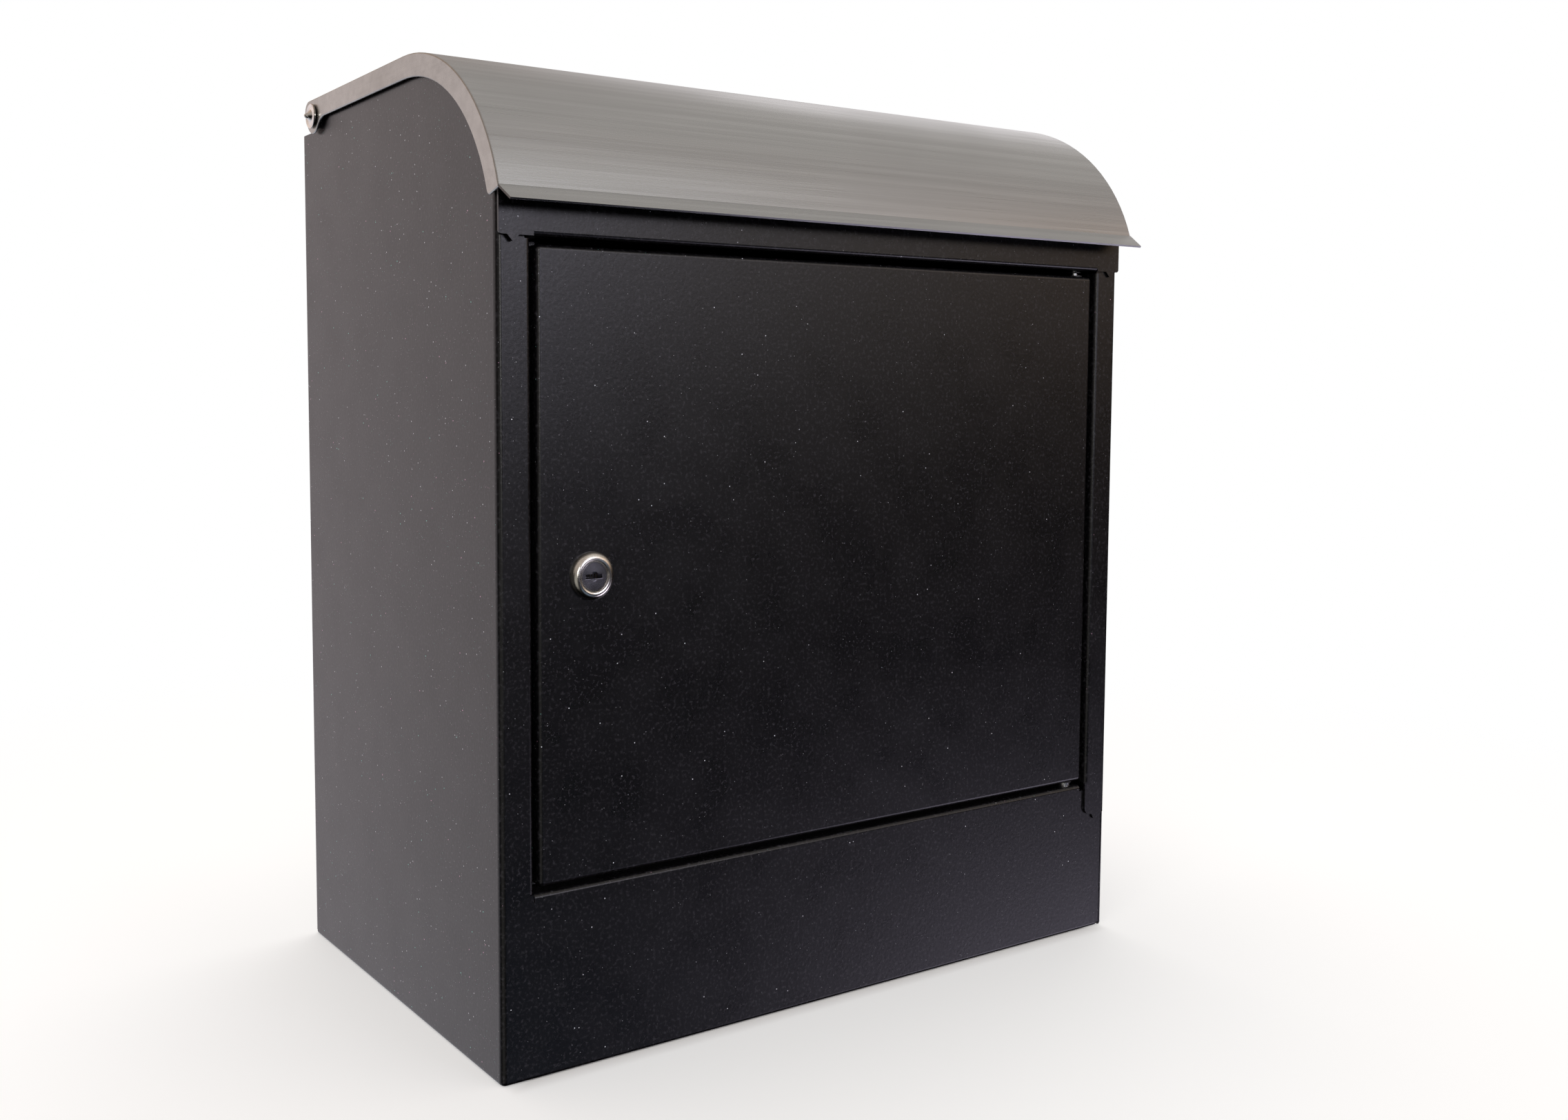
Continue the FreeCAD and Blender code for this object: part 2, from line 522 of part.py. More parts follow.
def lock_wafers():
    """Flat tumblers with a key window and a spring ear, drawn in flush with the plug."""
    wafers = []
    for index in range(WAFERS):
        y0 = wafer_y(index) - 0.4
        y1 = wafer_y(index) + 0.4
        plate = lock_box(-5.25, 5.25, y0, y1, -2.35, 2.35)
        ear = lock_box(1.1, 2.2, y0, y1, 2.2, 4.1)
        window = lock_box(-4.45, 4.45, y0 - 1, y1 + 1, -1.1, 1.1)
        wafers.append(joined(plate, ear).cut(window))
    return Part.Compound(wafers)


def wafer_springs():
    """One small coil spring per wafer, beside its ear."""
    coil_r = 0.5
    wire_r = 0.11
    length = 3.6
    turns = 4
    springs = []
    for index in range(WAFERS):
        path = Part.makeHelix(length / turns, length, coil_r)
        start = path.Edges[0].valueAt(path.Edges[0].FirstParameter)
        circle = Part.makeCircle(wire_r, start, Vector(0, 1, 0.28))
        coil = Part.Wire(path.Edges).makePipeShell([Part.Wire(circle)], True, True)
        coil.rotate(Vector(0, 0, 0), Y_AXIS, 90)
        coil.translate(lock_at(-2.7, wafer_y(index), 3.35))
        springs.append(coil)
    return Part.Compound(springs)


def lock_cam():
    """Flat cam: square-holed hub and an arm that hangs down when unlocked."""
    y0 = BARREL_LEN + 0.3
    thick = 2.0
    reach = 37.0
    half = 7.0
    hub = lock_rod(9.0, y0, y0 + thick)
    arm = lock_box(-half, half, y0, y0 + thick, -reach + half, 0)
    tip = lock_rod(half, y0, y0 + thick, 0, -reach + half)
    square = lock_box(-3.55, 3.55, y0 - 1, y0 + thick + 1, -3.55, 3.55)
    return joined(hub, arm, tip).cut(square)


def cam_washer():
    return lock_rod(5.5, BARREL_LEN + 2.3, BARREL_LEN + 3.0).cut(lock_rod(2.1, 0, 30))


def cam_screw():
    """Cross-recessed pan-head screw in the plug's rear."""
    seat = BARREL_LEN + 3.0
    head = lock_rod(4.2, seat, seat + 2.4)
    head = head.makeFillet(0.8, [e for e in head.Edges if e.BoundBox.YMin > FRONT_Y + seat + 2])
    shank = lock_rod(PIN_R - 0.02, seat - 4.8, seat + 1)
    cross = [lock_box(-2.0, 2.0, seat + 1.2, seat + 3, -0.4, 0.4),
             lock_box(-0.4, 0.4, seat + 1.2, seat + 3, -2.0, 2.0)]
    return joined(head, shank).cut(cross)


# ---------------------------------------------------------------- lid
def ear_corners():
    """Rear end of the lid's side outline: inner start, ear's foot, rear top corner."""
    return [(FRONT_Y + 197.9, LID_TOP_Z - LID_FLANGE, 10.0), (FRONT_Y + 211.8, 451.5, EAR_R),
            (FRONT_Y + 226.0, LID_TOP_Z, 6.0)]


def on_arc(radius, degrees):
    turn = math.radians(degrees)
    return (LID_ARC_Y - radius * math.sin(turn), LID_ARC_Z + radius * math.cos(turn))


def arc_band(outer, inner, x0, x1, end=LID_ARC_END):
    """Ring sector of the front arc between two radii, over a span of X."""
    def at(radius, degrees):
        return in_yz(x0)(*on_arc(radius, degrees))
    edges = [
        Part.Arc(at(outer, 0), at(outer, end / 2), at(outer, end)).toShape(),
        Part.makeLine(at(outer, end), at(inner, end)),
        Part.Arc(at(inner, end), at(inner, end / 2), at(inner, 0)).toShape(),
        Part.makeLine(at(inner, 0), at(outer, 0)),
    ]
    return Part.Face(Part.Wire(edges)).extrude(X_AXIS * (x1 - x0))


def lid_side():
    """Side flange with its rear ear, on the right."""
    x0 = LID_HALF_W - LID_SHEET
    end = LID_ARC_END + FLANGE_PAST_LIP
    curved = arc_band(LID_R, LID_R - LID_FLANGE, x0, LID_HALF_W, end)
    tip = Part.Vertex(in_yz(x0)(*on_arc(LID_R - LID_FLANGE, end)))
    tip_edges = [e for e in curved.Edges
                 if abs(e.tangentAt(e.FirstParameter).x) > 0.9 and e.distToShape(tip)[0] < 1e-3]
    curved = curved.makeFillet(FLANGE_TIP_R, tip_edges)
    corners = [(LID_ARC_Y, LID_TOP_Z, 0), (LID_ARC_Y, LID_TOP_Z - LID_FLANGE, 0)] + ear_corners()
    straight = rounded_face(corners, in_yz(x0)).extrude(X_AXIS * LID_SHEET)
    hole = rod(4.5, Vector(x0 - 1, PIVOT_Y, PIVOT_Z), Vector(x0 + 3, PIVOT_Y, PIVOT_Z))
    return joined(curved, straight).cut(hole)


def lid_lip():
    """Flared lip along the front, its ends drawn in."""
    root = on_arc(LID_R, LID_ARC_END)
    tip = (FRONT_Y - LIP_OVERHANG, LIP_TIP_Z)
    along = Vector(tip[0] - root[0], tip[1] - root[1], 0).normalize()
    under = Vector(-along.y, along.x, 0) * LID_SHEET
    heel = on_arc(LID_R - LID_SHEET, LID_ARC_END)
    corners = [(*root, 0), (*tip, 0), (tip[0] + under.x, tip[1] + under.y, 0),
               (root[0] + under.x, root[1] + under.y, 0), (*heel, 0)]
    lip = rounded_face(corners, in_yz(-LID_HALF_W)).extrude(X_AXIS * 2 * LID_HALF_W)
    wedge = [(LID_HALF_W + 5, root[0], 0), (LID_HALF_W, root[0], 0),
             (LID_HALF_W - LIP_TAPER, tip[0] - 0.01, 0), (LID_HALF_W + 5, tip[0] - 0.01, 0)]
    trim = rounded_face(wedge, in_xy(LIP_TIP_Z - 10)).extrude(Z_AXIS * 30)
    return lip.cut([trim, mirrored(trim)])


def lid_shell():
    """Top sheet, quarter-round front, lip, side flanges and the rear rain lip."""
    flat_end = FRONT_Y + 213.5
    curve = arc_band(LID_R, LID_R - LID_SHEET, -LID_HALF_W, LID_HALF_W)
    flat = box(-LID_HALF_W, LID_HALF_W, LID_ARC_Y, flat_end, LID_TOP_Z - LID_SHEET, LID_TOP_Z)
    side = lid_side()
    shell = joined(curve, flat, side, mirrored(side))
    edges = []
    for edge in shell.Edges:
        bounds = edge.BoundBox
        outer = bounds.XLength < 1e-3 and abs(abs(bounds.XMin) - LID_HALF_W) < 1e-3
        if outer and bounds.ZMax > LID_TOP_Z - 1e-3 and edge.Length > 100:
            edges.append(edge)
    shell = shell.makeFillet(LID_EDGE_R, edges)

    rain_lip_z = 461.5
    foot_y, foot_z, _ = ear_corners()[1]
    rear_y, rear_z, bend = ear_corners()[2]
    lean = (rear_y - foot_y) / (rear_z - foot_z)
    path = [(rear_y - lean * (rear_z - rain_lip_z), rain_lip_z), (rear_y, rear_z),
            (flat_end - 2, LID_TOP_Z)]
    half = SIDE_X - 3.0
    rain_lip = bent_strip(path, LID_SHEET, in_yz(-half), bend).extrude(X_AXIS * 2 * half)
    return joined(shell, rain_lip, lid_lip())


def lid_hinge_studs():
    """Shouldered stud with a dished, pointed cap, one each side."""
    def at(outward, radius):
        return Vector(SIDE_X + outward, PIVOT_Y + radius, PIVOT_Z)
    outline = [at(-7.5, 0), at(-7.5, 2.6), at(-7.1, 3.0), at(0, 3.0), at(0, 3.5), at(3.4, 3.5),
               at(3.4, 6.1), at(3.8, 6.6), at(4.5, 6.6), at(4.7, 6.3), at(4.2, 5.0), at(4.6, 3.4),
               at(6.2, 1.6), at(7.5, 1.0), at(7.9, 0.5), at(7.9, 0), at(-7.5, 0)]
    face = Part.Face(Part.makePolygon(outline))
    stud = face.revolve(Vector(0, PIVOT_Y, PIVOT_Z), X_AXIS, 360)
    return both_sides(stud)


def lid_hinge_bushes():
    """Flanged plastic bush pressed in each ear."""
    ear = LID_HALF_W - LID_SHEET

    def at(x):
        return Vector(x, PIVOT_Y, PIVOT_Z)

    bush = joined(rod(6.0, at(SIDE_X + 0.3), at(ear)), rod(4.5, at(ear - 0.1), at(LID_HALF_W + 0.2)))
    return both_sides(bush.cut(rod(3.5 + RUN_CLEAR, at(SIDE_X - 5), at(SIDE_X + 9))))


def lid_hinge_nuts():
    """Hex nut inside each side panel."""
    x0 = SIDE_X - SHEET
    corner = 5.0 / math.cos(math.pi / 6)
    points = [Vector(x0 - 5, PIVOT_Y + corner * math.cos(k * math.pi / 3),
                     PIVOT_Z + corner * math.sin(k * math.pi / 3)) for k in range(7)]
    nut = Part.Face(Part.makePolygon(points)).extrude(X_AXIS * 5)
    nut = nut.common(rod(5.5, Vector(x0 - 5, PIVOT_Y, PIVOT_Z), Vector(x0, PIVOT_Y, PIVOT_Z)))
    hole = rod(3.02, Vector(x0 - 9, PIVOT_Y, PIVOT_Z), Vector(x0 + 9, PIVOT_Y, PIVOT_Z))
    return both_sides(nut.cut(hole))


def lid_buffers():
    """Rubber clips on the side panels' top edges, which the closed lid rests on."""
    x_out = SIDE_X + 0.9
    x_in = SIDE_X - SHEET - 1.2
    corners = [(x_in, SIDE_TOP_Z - BUFFER_DEPTH, 0.4), (x_out, SIDE_TOP_Z - BUFFER_DEPTH, 0.4),
               (x_out, LID_TOP_Z - LID_SHEET - 0.3, 1.3), (x_in, LID_TOP_Z - LID_SHEET - 0.3, 1.3)]
    y0 = LID_ARC_Y + 6
    block = rounded_face(corners, in_xz(y0)).extrude(Y_AXIS * BUFFER_LEN)
    slot = box(SIDE_X - SHEET, SIDE_X, y0 - 1, y0 + BUFFER_LEN + 1,
               SIDE_TOP_Z - BUFFER_DEPTH - 1, SIDE_TOP_Z)
    return both_sides(block.cut(slot))


NODES = {
    "body_wrap": body_wrap,
    "right_side_panel": right_side_panel,
    "header_rail": header_rail,
    "back_panel": back_panel,
    "base_panel": base_panel,
    "baffle_plate": baffle_plate,
    "lower_hinge_pin": lower_hinge_pin,
    "upper_hinge_pin": upper_hinge_pin,
    "upper_pin_clip": upper_pin_clip,
    "lid_hinge_studs": lid_hinge_studs,
    "lid_hinge_nuts": lid_hinge_nuts,
    "lid_buffers": lid_buffers,
    "door_panel": door_panel,
    "door_bushes": door_bushes,
    "lock_housing": lock_housing,
    "lock_nut": lock_nut,
    "lock_plug": lock_plug,
    "lock_wafers": lock_wafers,
    "wafer_springs": wafer_springs,
    "lock_cam": lock_cam,
    "cam_washer": cam_washer,
    "cam_screw": cam_screw,
    "lid_shell": lid_shell,
    "lid_hinge_bushes": lid_hinge_bushes,
}

for name, build in NODES.items():
    shape = build()
    solids = len(shape.Solids)
    print(f"{name}: {solids} solid(s), {shape.Volume:.1f} mm3, valid {shape.isValid()}")
    shape.exportStep(f"parts/{name}.step")
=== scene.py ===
"""Looks of the parcel drop box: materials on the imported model, studio, and camera."""
import json
import math

import bpy
from mathutils import Matrix, Vector

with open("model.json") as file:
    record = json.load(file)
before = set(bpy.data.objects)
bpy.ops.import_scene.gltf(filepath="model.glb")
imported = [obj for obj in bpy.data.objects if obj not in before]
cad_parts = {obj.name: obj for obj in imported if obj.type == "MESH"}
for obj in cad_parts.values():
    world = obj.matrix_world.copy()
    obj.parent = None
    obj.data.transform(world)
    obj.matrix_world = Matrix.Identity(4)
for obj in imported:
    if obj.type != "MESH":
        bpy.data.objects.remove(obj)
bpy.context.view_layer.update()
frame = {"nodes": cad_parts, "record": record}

WHITE = (1.0, 1.0, 1.0, 1)


# ---------------------------------------------------------------- node helpers
def new_material(name):
    """A material with its node tree and its main shader."""
    material = bpy.data.materials.new(name)
    material.use_nodes = True
    tree = material.node_tree
    return material, tree, tree.nodes["Principled BSDF"]


def add(tree, kind, inputs=None, **settings):
    """A node with its settings, and inputs given as a value or as another node's output."""
    node = tree.nodes.new(kind)
    for key, value in settings.items():
        setattr(node, key, value)
    for key, value in (inputs or {}).items():
        socket = node.inputs[key]
        if isinstance(value, bpy.types.NodeSocket):
            tree.links.new(value, socket)
        else:
            socket.default_value = value
    return node


def math_node(tree, operation, first, second=0.0):
    return add(tree, "ShaderNodeMath", {0: first, 1: second}, operation=operation).outputs[0]


def remap(tree, value, source, target, smooth=False):
    """The value taken from the source range to the target range, and kept inside it."""
    inputs = {"Value": value, "From Min": source[0], "From Max": source[1],
              "To Min": target[0], "To Max": target[1]}
    kind = "SMOOTHSTEP" if smooth else "LINEAR"
    return add(tree, "ShaderNodeMapRange", inputs, interpolation_type=kind).outputs[0]


def mix_colour(tree, factor, first, second, blend="MIX"):
    inputs = {0: factor, 6: first, 7: second}          # the mix node's sockets for colours
    return add(tree, "ShaderNodeMix", inputs, data_type="RGBA", blend_type=blend).outputs[2]


def noise(tree, vector, scale, detail=2.0, roughness=0.5, distortion=0.0):
    inputs = {"Vector": vector, "Scale": scale, "Detail": detail, "Roughness": roughness,
              "Distortion": distortion}
    return add(tree, "ShaderNodeTexNoise", inputs).outputs[0]


def streaks(tree, vector, per_metre, **settings):
    """Noise with its own number of marks per metre along each axis."""
    stretched = add(tree, "ShaderNodeMapping", {"Vector": vector, "Scale": per_metre}).outputs[0]
    return noise(tree, stretched, 1.0, **settings)


def bump(tree, height, metres):
    """Normal of a relief this high, at half strength."""
    inputs = {"Height": height, "Distance": metres, "Strength": 0.5}
    return add(tree, "ShaderNodeBump", inputs).outputs[0]


def place(tree):
    return add(tree, "ShaderNodeTexCoord").outputs["Object"]


def axis(tree, vector, letter):
    return add(tree, "ShaderNodeSeparateXYZ", {"Vector": vector}).outputs[letter]


def dress(tree, shader, base, roughness, normal):
    """Joins the three textured values to the shader."""
    tree.links.new(base, shader.inputs["Base Color"])
    tree.links.new(roughness, shader.inputs["Roughness"])
    tree.links.new(normal, shader.inputs["Normal"])


# ---------------------------------------------------------------- materials
FLAKE_LAYERS = (           # cells per metre, radius as a share of a cell, share of cells, strength
    (420.0, 0.14, 0.02, 1.0),
    (900.0, 0.18, 0.035, 0.5),
)
FLAKE_RIM = 0.6            # a flake fades from this share of its radius outward
FLAKE_WHITE = (0.9, 0.92, 1.0, 1)
FLAKE_GREEN = (0.35, 0.9, 0.8, 1)
FLAKE_PINK = (1.0, 0.55, 0.8, 1)
GREEN_ABOVE = 0.6          # a flake's own random number, 0 to 1, picks its tint
PINK_ABOVE = 0.82

NOISE_RANGE = (0.3, 0.7)   # most of a noise's values lie in it

FLANGE_FACING = 0.7        # a face that looks this far along the width is a side flange
LIP_START_Y = -0.116       # the lid's lip lies in front of this; its end faces there get painted shade


def flecks(tree, where, scale, radius, share):
    """Mask of sparse round flakes, and a random number for each flake."""
    cells = add(tree, "ShaderNodeTexVoronoi", {"Vector": where, "Scale": scale})
    chance = add(tree, "ShaderNodeSeparateColor", {"Color": cells.outputs["Color"]})
    disc = remap(tree, cells.outputs["Distance"], (radius, radius * FLAKE_RIM), (0.0, 1.0))
    chosen = math_node(tree, "LESS_THAN", chance.outputs[0], share)
    return math_node(tree, "MULTIPLY", disc, chosen), chance.outputs[1]


def powder_coat():
    """Fine-textured satin black coat with sparse metallic flakes."""
    material, tree, shader = new_material("powder_coat")
    where = place(tree)
    cloud = noise(tree, where, 5.0, detail=3.0)
    grain = noise(tree, where, 600.0, detail=4.0, roughness=0.6)
    tone = mix_colour(tree, cloud, (0.0026, 0.0025, 0.0030, 1), (0.0038, 0.0036, 0.0042, 1))
    grain_mask = remap(tree, grain, (0.52, 0.72), (0.0, 0.9))
    tone = mix_colour(tree, grain_mask, tone, (0.040, 0.038, 0.044, 1))
    for scale, radius, share, strength in FLAKE_LAYERS:
        mask, chance = flecks(tree, where, scale, radius, share)
        green = math_node(tree, "GREATER_THAN", chance, GREEN_ABOVE)
        pink = math_node(tree, "GREATER_THAN", chance, PINK_ABOVE)
        hue = mix_colour(tree, green, FLAKE_WHITE, FLAKE_GREEN)
        hue = mix_colour(tree, pink, hue, FLAKE_PINK)
        tone = mix_colour(tree, math_node(tree, "MULTIPLY", mask, strength), tone, hue)
    skin = noise(tree, where, 650.0, detail=3.0, roughness=0.55)
    rough = remap(tree, noise(tree, where, 40.0, detail=3.0), NOISE_RANGE, (0.26, 0.31))
    dress(tree, shader, tone, rough, bump(tree, skin, 0.00008))
    return material


def brushed_stainless():
    """Stainless sheet brushed along the width, and on the side flanges along their run."""
    material, tree, shader = new_material("brushed_stainless")
    where = place(tree)
    facing = add(tree, "ShaderNodeNewGeometry").outputs["Normal"]
    sideways = math_node(tree, "ABSOLUTE", axis(tree, facing, "X"))
    on_flange = math_node(tree, "GREATER_THAN", sideways, FLANGE_FACING)

    top_grain = streaks(tree, where, (9.0, 1500.0, 1500.0), detail=4.0, roughness=0.6)
    side_grain = streaks(tree, where, (1500.0, 40.0, 1100.0), detail=3.0, roughness=0.6)
    grain = add(tree, "ShaderNodeMix", {0: on_flange, 2: top_grain, 3: side_grain}).outputs[0]
    long_grain = streaks(tree, where, (2.5, 260.0, 260.0), detail=3.0)
    smudge = streaks(tree, where, (5.0, 11.0, 11.0), detail=3.0, distortion=0.6)

    tone = mix_colour(tree, grain, (0.47, 0.475, 0.475, 1), (0.64, 0.65, 0.65, 1))
    long_mask = remap(tree, long_grain, (0.35, 0.65), (0.0, 0.45))
    tone = mix_colour(tree, long_mask, tone, (0.42, 0.424, 0.424, 1))
    smudge_mask = remap(tree, smudge, (0.5, 0.75), (0.0, 0.35))
    tone = mix_colour(tree, smudge_mask, tone, (0.40, 0.40, 0.398, 1))
    # painted shade with a warm painted reflection: the side flanges get a darker, warmer copy of the
    # sheet's tone
    painted_shade_flange = mix_colour(tree, 1.0, tone, (0.71, 0.69, 0.65, 1), blend="MULTIPLY")
    tone = mix_colour(tree, on_flange, tone, painted_shade_flange)
    # painted shade: the lip's end faces, on the side flanges in front of LIP_START_Y, are coloured
    # near black
    on_lip = math_node(tree, "LESS_THAN", axis(tree, where, "Y"), LIP_START_Y)
    painted_shade_lip_end = math_node(tree, "MULTIPLY", on_lip, on_flange)
    tone = mix_colour(tree, painted_shade_lip_end, tone, (0.10, 0.095, 0.09, 1))

    rough = remap(tree, grain, NOISE_RANGE, (0.21, 0.31))
    rough = math_node(tree, "ADD", rough, remap(tree, smudge, (0.35, 0.7), (0.0, 0.09)))
    dress(tree, shader, tone, rough, bump(tree, grain, 0.00004))
    around = add(tree, "ShaderNodeTangent", direction_type="RADIAL", axis="X").outputs[0]
    tree.links.new(around, shader.inputs["Tangent"])
    shader.inputs["Metallic"].default_value = 1.0
    shader.inputs["Anisotropic"].default_value = 0.6
    return material


def plated(name, dark, light, rough_range):
    """Plated or polished metal with fine wear marks."""
    material, tree, shader = new_material(name)
    where = place(tree)
    marks = noise(tree, where, 900.0, detail=4.0, roughness=0.65)
    cloud = noise(tree, where, 100.0)
    tone = mix_colour(tree, remap(tree, marks, NOISE_RANGE, (0.0, 1.0)), dark, light)
    rough = remap(tree, cloud, NOISE_RANGE, rough_range)
    dress(tree, shader, tone, rough, bump(tree, marks, 0.00001))
    shader.inputs["Metallic"].default_value = 1.0
    return material


def zinc():
    """Zinc plate with its crystalline mottling."""
    material, tree, shader = new_material("zinc_steel")
    where = place(tree)
    cells = add(tree, "ShaderNodeTexVoronoi", {"Vector": where, "Scale": 700.0})
    shade = add(tree, "ShaderNodeSeparateColor", {"Color": cells.outputs["Color"]}).outputs[0]
    fine = noise(tree, where, 1800.0, detail=3.0)
    tone = mix_colour(tree, shade, (0.50, 0.51, 0.53, 1), (0.68, 0.68, 0.66, 1))
    rough = remap(tree, fine, NOISE_RANGE, (0.25, 0.42))
    dress(tree, shader, tone, rough, bump(tree, fine, 0.00002))
    shader.inputs["Metallic"].default_value = 1.0
    return material


def moulded(name, dark, light, rough, scale, height):
    """Matt skin of plastic, rubber or blackened steel."""
    material, tree, shader = new_material(name)
    where = place(tree)
    skin = noise(tree, where, scale, detail=3.0, roughness=0.6)
    cloud = noise(tree, where, scale / 20.0)
    tone = mix_colour(tree, cloud, dark, light)
    roughness = remap(tree, skin, NOISE_RANGE, (rough - 0.06, rough + 0.06))
    dress(tree, shader, tone, roughness, bump(tree, skin, height))
    return material


MATERIALS = {
    "powder_coat": powder_coat(),
    "brushed_stainless": brushed_stainless(),
    "polished_steel": plated("polished_steel", (0.62, 0.60, 0.57, 1), (0.80, 0.78, 0.74, 1),
                             (0.08, 0.16)),
    "nickel_plate": plated("nickel_plate", (0.70, 0.67, 0.60, 1), (0.84, 0.81, 0.74, 1),
                           (0.18, 0.27)),
    "plug_nickel": plated("plug_nickel", (0.32, 0.315, 0.355, 1), (0.44, 0.435, 0.475, 1),
                          (0.20, 0.28)),
    "brass": plated("brass", (0.10, 0.07, 0.035, 1), (0.20, 0.145, 0.075, 1), (0.35, 0.50)),
    "black_steel": moulded("black_steel", (0.010, 0.010, 0.011, 1), (0.024, 0.024, 0.026, 1),
                           rough=0.45, scale=1400.0, height=0.00001),
    "zinc_steel": zinc(),
    "rubber": moulded("rubber", (0.012, 0.012, 0.012, 1), (0.028, 0.028, 0.028, 1),
                      rough=0.75, scale=1500.0, height=0.00005),
    "acetal": moulded("acetal", (0.018, 0.018, 0.020, 1), (0.030, 0.030, 0.032, 1),
                      rough=0.45, scale=1200.0, height=0.00002),
}

slots = {part["node"]: part["material_slot"] for part in frame["record"]["subparts"]}
for node_name, node in frame["nodes"].items():
    node.data.materials.clear()
    node.data.materials.append(MATERIALS[slots[node_name]])

# ---------------------------------------------------------------- camera
EYE = Vector((-0.50214, -0.68556, 0.31105))
HEADING = 31.5559          # degrees from the object's depth axis toward its right
PITCH = -4.2358            # degrees, downward
ROLL = -0.1289             # degrees
SENSOR_WIDTH = 36.0        # mm
FOCAL_LENGTH = 34.0493     # mm
SHIFT = (0.117766, -0.032454)      # the middle of the view off the lens axis, in view widths


def make_camera():
    data = bpy.data.cameras.new("camera")
    data.sensor_width = SENSOR_WIDTH
    data.sensor_fit = "HORIZONTAL"
    data.lens = FOCAL_LENGTH
    data.shift_x, data.shift_y = SHIFT
    data.clip_start = 0.01
    camera = bpy.data.objects.new("camera", data)
    turn = Matrix.Rotation(math.radians(-HEADING), 4, "Z")
    tilt = Matrix.Rotation(math.radians(90.0 + PITCH), 4, "X")
    roll = Matrix.Rotation(math.radians(ROLL), 4, "Z")
    camera.matrix_world = Matrix.Translation(EYE) @ turn @ tilt @ roll
    bpy.context.scene.collection.objects.link(camera)
    bpy.context.scene.camera = camera


# ---------------------------------------------------------------- studio
# The ceiling and the first nine glows were fitted together, by least squares, so that the coat
# and the lid reflect the wanted tones toward the camera. The last three were set one by one.
CEILING = (0.433, 0.383, 0.354)
CEILING_HEIGHTS = (-0.02, 0.50)    # the ceiling fades in between these heights on the unit sphere
GLOWS = (                  # azimuth from the front toward the right, elevation, reach; colour
    (20, -28, 15, (0.14, 0.19, 0.27)),
    (56, -28, 15, (2.24, 2.07, 2.60)),
    (20, 13, 15, (3.69, 3.62, 4.38)),
    (38, 13, 15, (0.87, 0.80, 0.75)),
    (56, 13, 15, (0.69, 0.46, 0.30)),
    (106, 50, 35, (0.10, 0.12, 0.12)),
    (131, 22, 20, (0.86, 0.85, 0.89)),
    (-150, 16, 60, (0.18, 0.07, 0.0)),
    (-150, -16, 60, (0.81, 0.82, 0.91)),
    (28, 40, 28, (0.28, 0.30, 0.30)),
    (-45, -15, 35, (0.35, 0.34, 0.32)),
    (-15, 8, 10, (7.0, 6.9, 6.8)),
)

FLOOR_HALF = 30.0
FLOOR_GLOW_RADII = (0.30, 1.0)     # the floor's glow grows between these distances
FLOOR_GLOW = (0.45, 1.0)
UNLIT_HALF_X = 0.2         # the floor's glow is cut within these distances of the middle
UNLIT_HALF_Y = 0.11765     # this one stops short of the object's back
UNLIT_EDGE = 0.90          # the cut is full up to this share of them


def studio_world():
    """Soft room: white seen directly, and glows of different tones in the reflections."""
    world = bpy.data.worlds.new("studio")
    bpy.context.scene.world = world
    world.use_nodes = True
    tree = world.node_tree
    direction = add(tree, "ShaderNodeTexCoord").outputs["Generated"]

    def patch(azimuth, elevation, reach):
        aside, rise = math.radians(azimuth), math.radians(elevation)
        level = math.cos(rise)
        towards = (math.sin(aside) * level, -math.cos(aside) * level, math.sin(rise))
        node = add(tree, "ShaderNodeVectorMath", {0: direction, 1: towards}, operation="DOT_PRODUCT")
        edge = math.cos(math.radians(reach))
        return remap(tree, node.outputs["Value"], (edge, 1.0), (0.0, 1.0), smooth=True)

    height = axis(tree, direction, "Z")
    parts = [(remap(tree, height, CEILING_HEIGHTS, (0.0, 1.0), smooth=True), CEILING)]
    for azimuth, elevation, reach, colour in GLOWS:
        parts.append((patch(azimuth, elevation, reach), colour))
    total = (0.0, 0.0, 0.0)
    for value, colour in parts:
        tinted = add(tree, "ShaderNodeVectorMath", {0: colour, "Scale": value}, operation="SCALE")
        inputs = {0: tinted.outputs["Vector"], 1: total}
        total = add(tree, "ShaderNodeVectorMath", inputs).outputs["Vector"]
    lit = add(tree, "ShaderNodeBackground", {"Color": total, "Strength": 1.0})
    seen = add(tree, "ShaderNodeBackground", {"Color": WHITE, "Strength": 1.0})
    direct = add(tree, "ShaderNodeLightPath").outputs["Is Camera Ray"]
    both = add(tree, "ShaderNodeMixShader", {0: direct, 1: lit.outputs[0], 2: seen.outputs[0]})
    tree.links.new(both.outputs[0], tree.nodes["World Output"].inputs["Surface"])


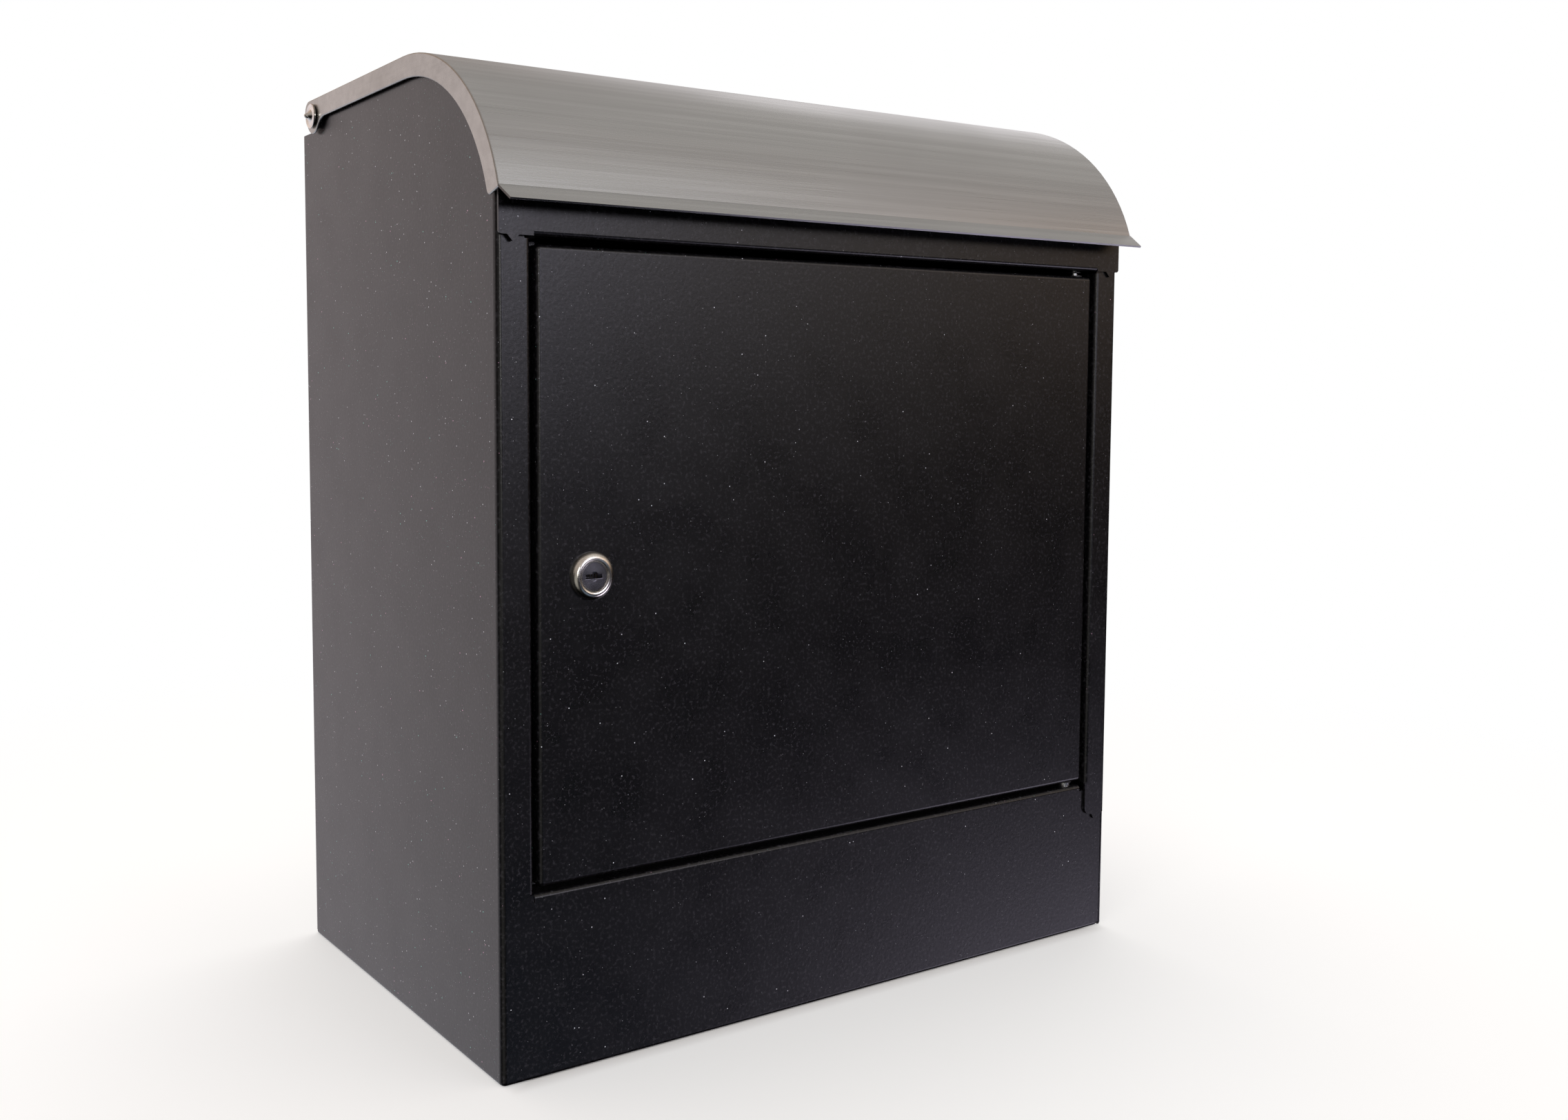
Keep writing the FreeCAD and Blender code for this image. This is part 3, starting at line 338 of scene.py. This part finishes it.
def softbox(name, position, target, size, power):
    """Square area lamp, unseen in reflections, that looks at the target."""
    light = bpy.data.lights.new(name, "AREA")
    light.shape = "RECTANGLE"
    light.size = size
    light.size_y = size
    light.energy = power
    lamp = bpy.data.objects.new(name, light)
    lamp.location = position
    lamp.rotation_mode = "QUATERNION"
    lamp.rotation_quaternion = (Vector(target) - Vector(position)).to_track_quat("-Z", "Y")
    lamp.visible_glossy = False
    bpy.context.scene.collection.objects.link(lamp)


def floor_material():
    """Pale, glowing white further out, and without glow under most of the object."""
    material, tree, shader = new_material("floor")
    where = place(tree)
    far = add(tree, "ShaderNodeVectorMath", {0: where}, operation="LENGTH").outputs["Value"]
    white = remap(tree, far, FLOOR_GLOW_RADII, FLOOR_GLOW, smooth=True)
    shares = []
    for letter, half in (("X", UNLIT_HALF_X), ("Y", UNLIT_HALF_Y)):
        distance = math_node(tree, "ABSOLUTE", axis(tree, where, letter))
        shares.append(math_node(tree, "DIVIDE", distance, half))
    outside = remap(tree, math_node(tree, "MAXIMUM", *shares), (UNLIT_EDGE, 1.0), (0.0, 1.0))
    white = math_node(tree, "MULTIPLY", white, outside)
    shader.inputs["Base Color"].default_value = (0.86, 0.86, 0.85, 1)
    shader.inputs["Roughness"].default_value = 0.9
    glow = add(tree, "ShaderNodeEmission", {"Color": WHITE, "Strength": 1.0})
    both = add(tree, "ShaderNodeMixShader", {0: white, 1: shader.outputs[0], 2: glow.outputs[0]})
    tree.links.new(both.outputs[0], tree.nodes["Material Output"].inputs["Surface"])
    return material


def pale_floor():
    corners = [(-FLOOR_HALF, -FLOOR_HALF, 0), (FLOOR_HALF, -FLOOR_HALF, 0),
               (FLOOR_HALF, FLOOR_HALF, 0), (-FLOOR_HALF, FLOOR_HALF, 0)]
    mesh = bpy.data.meshes.new("floor")
    mesh.from_pydata(corners, [], [(0, 1, 2, 3)])
    mesh.materials.append(floor_material())
    floor = bpy.data.objects.new("floor", mesh)
    floor.visible_glossy = False
    floor.visible_diffuse = False
    bpy.context.scene.collection.objects.link(floor)


make_camera()
studio_world()
pale_floor()
softbox("key", (-1.3, -0.9, 1.6), (0, 0, 0.3), size=0.9, power=10.0)
softbox("overhead", (0.2, 0.3, 2.0), (0, 0, 0.4), size=1.6, power=34.0)
bpy.context.scene.view_settings.view_transform = "Standard"
